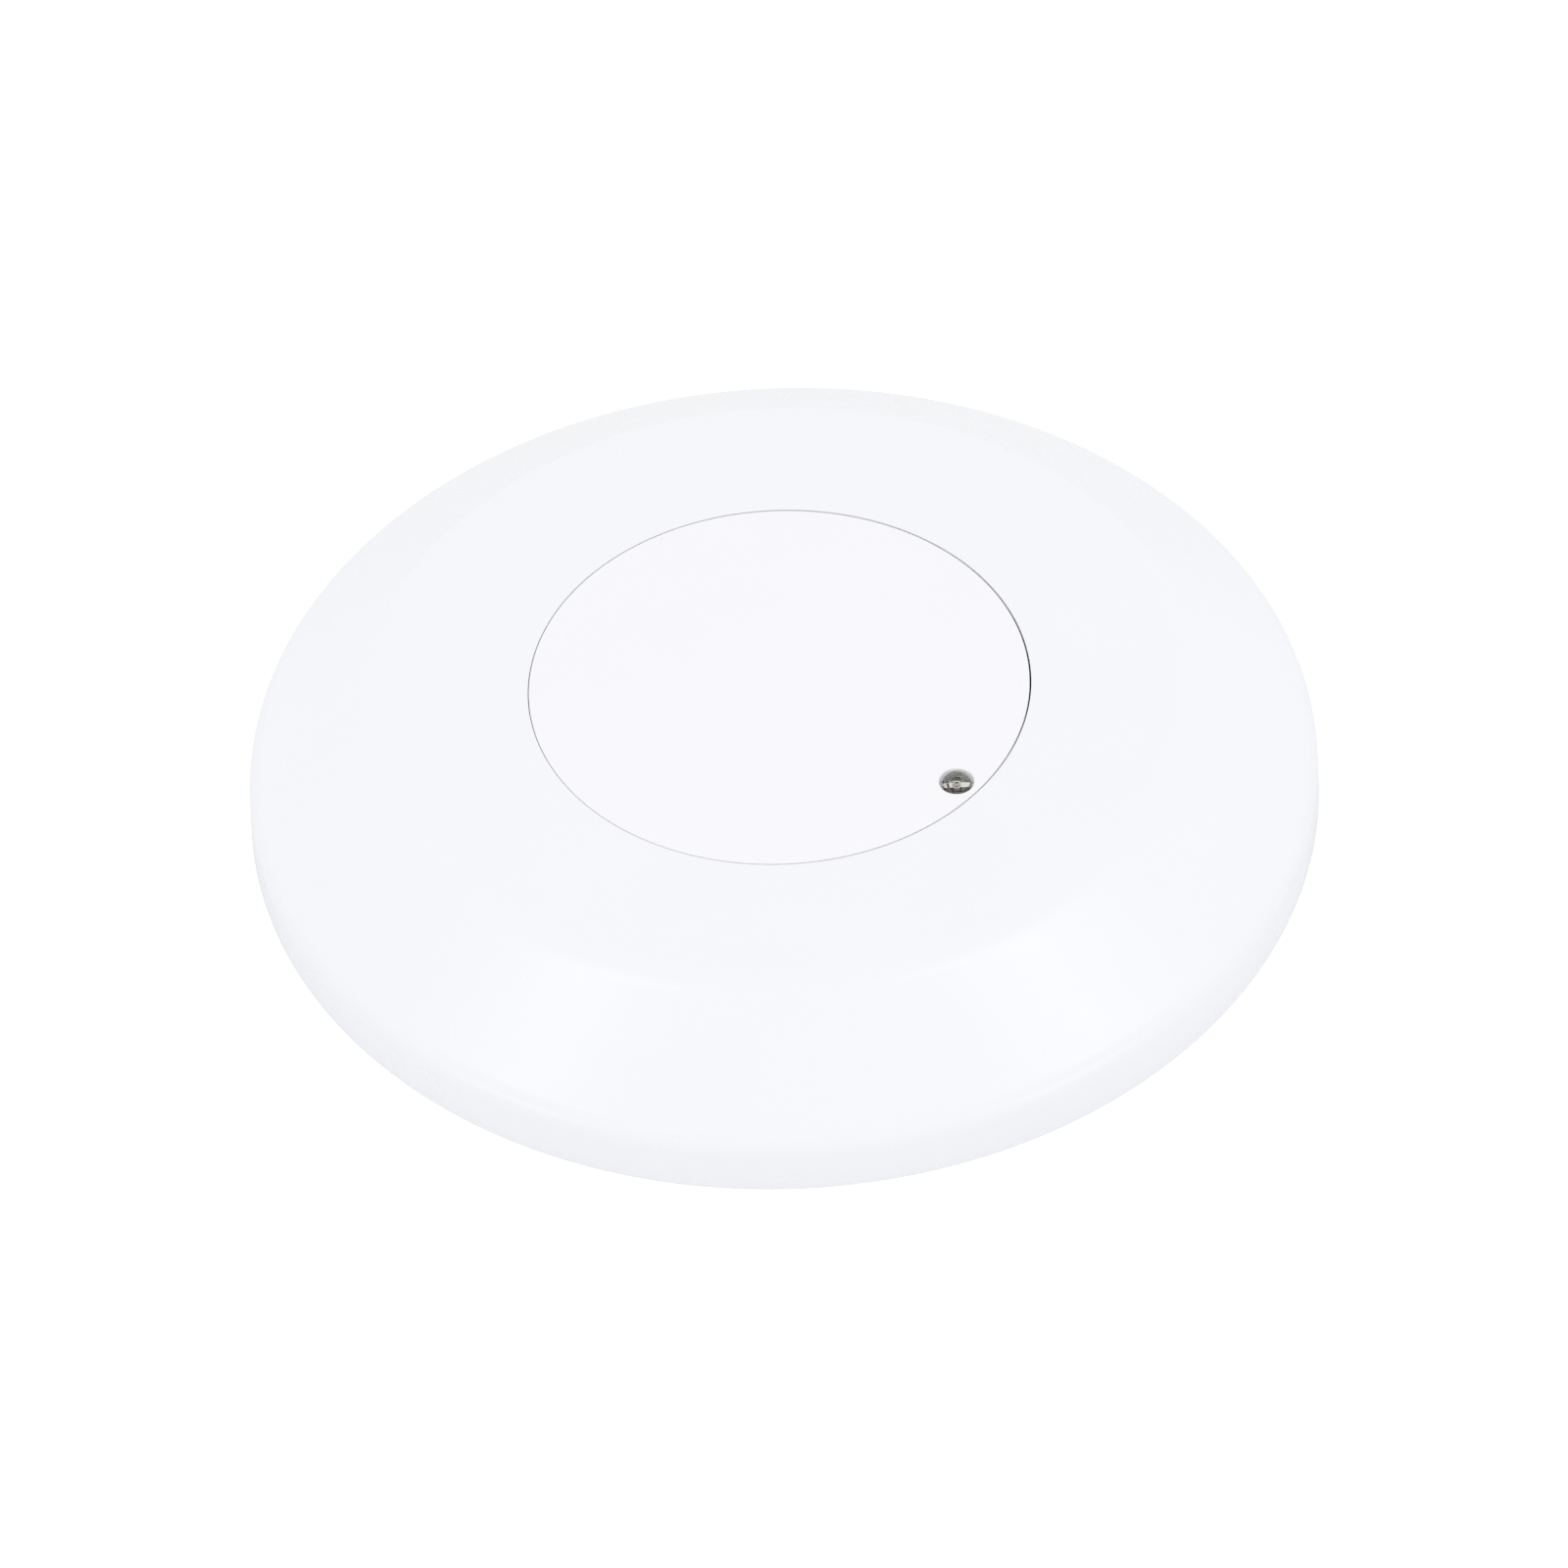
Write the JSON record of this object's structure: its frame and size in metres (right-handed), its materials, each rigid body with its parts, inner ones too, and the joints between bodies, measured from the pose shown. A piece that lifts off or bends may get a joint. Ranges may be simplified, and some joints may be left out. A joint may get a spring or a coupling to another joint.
{
  "type": "spot heat detector",
  "caption": "Low round rate-of-rise heat detector for a ceiling, with a coned white cover, flush heat-collecting centre disc, clear alarm lamp and twist-lock base.",
  "frame": {"origin": "centre of the mounting face, on the round body's axis", "axes": "+Z out of the ceiling into the room, along the body's axis; X through the two mounting slots; the lamp lies towards +X and -Y"},
  "size_m": [0.11, 0.11, 0.0158],
  "materials": {
    "cover_white": "fine matte moulded, white",
    "disc_white": "matte white paint on aluminium",
    "moulding": "fine matte moulded, off-white",
    "brass": "stamped and tinned where it touches",
    "zinc_steel": "zinc plated",
    "tinned": "bright tin plate",
    "board": "green solder mask",
    "black_epoxy": "moulded epoxy",
    "blue_coat": "dipped epoxy",
    "resistor_body": "lacquered, colour banded",
    "ceramic": "fired ceramic with tinned ends",
    "clear_epoxy": "water clear",
    "rubber": "matte",
    "bronze_foil": "thin phosphor bronze",
    "nylon": "natural nylon"
  },
  "bodies": {
    "base": {"base_plate": "moulding", "base_contacts": "brass", "wire_clamps": "zinc_steel", "terminal_screws": "zinc_steel"},
    "module": {"module_frame": "moulding", "wiping_contacts": "brass", "circuit_board": "board", "board_screws": "zinc_steel", "bridge_rectifier": "black_epoxy", "surge_suppressor": "blue_coat", "latch_thyristor": "black_epoxy", "resistors": "resistor_body", "diodes": "black_epoxy", "chip_capacitors": "ceramic", "led_lens": "clear_epoxy", "led_leads": "tinned", "led_spacer": "nylon", "led_hood": "nylon", "chamber_base": "moulding", "chamber_gasket": "rubber", "diaphragm": "bronze_foil", "diaphragm_ring": "brass", "collector_disc": "disc_white", "leak_plug": "brass", "chamber_screws": "zinc_steel", "contact_bush": "brass", "contact_strip": "brass", "lead_pins": "tinned"},
    "switch_contact": {"contact_stud": "brass", "contact_tip": "tinned"},
    "adjuster": {"gap_screw": "zinc_steel"},
    "cover": {"outer_cover": "cover_white"}
  },
  "joints": [
    {"name": "head_twist", "type": "hinge", "parent": "base", "child": "module", "pos_m": [0, 0, 0], "axis": [0, 0, 1], "range_deg": [0, 20]},
    {"name": "cover_pull", "type": "slide", "parent": "module", "child": "cover", "axis": [0, 0, 1], "range_m": [0, 0.03]},
    {"name": "diaphragm_travel", "type": "slide", "parent": "module", "child": "switch_contact", "axis": [0, 0, -1], "range_m": [0, 0.0004], "stiffness_N_per_m": 200, "deforming": ["diaphragm"]},
    {"name": "gap_screw_turn", "type": "hinge", "parent": "module", "child": "adjuster", "pos_m": [0, 0, 0.0085], "axis": [0, 0, 1], "range_deg": [-180, 180]}
  ]
}
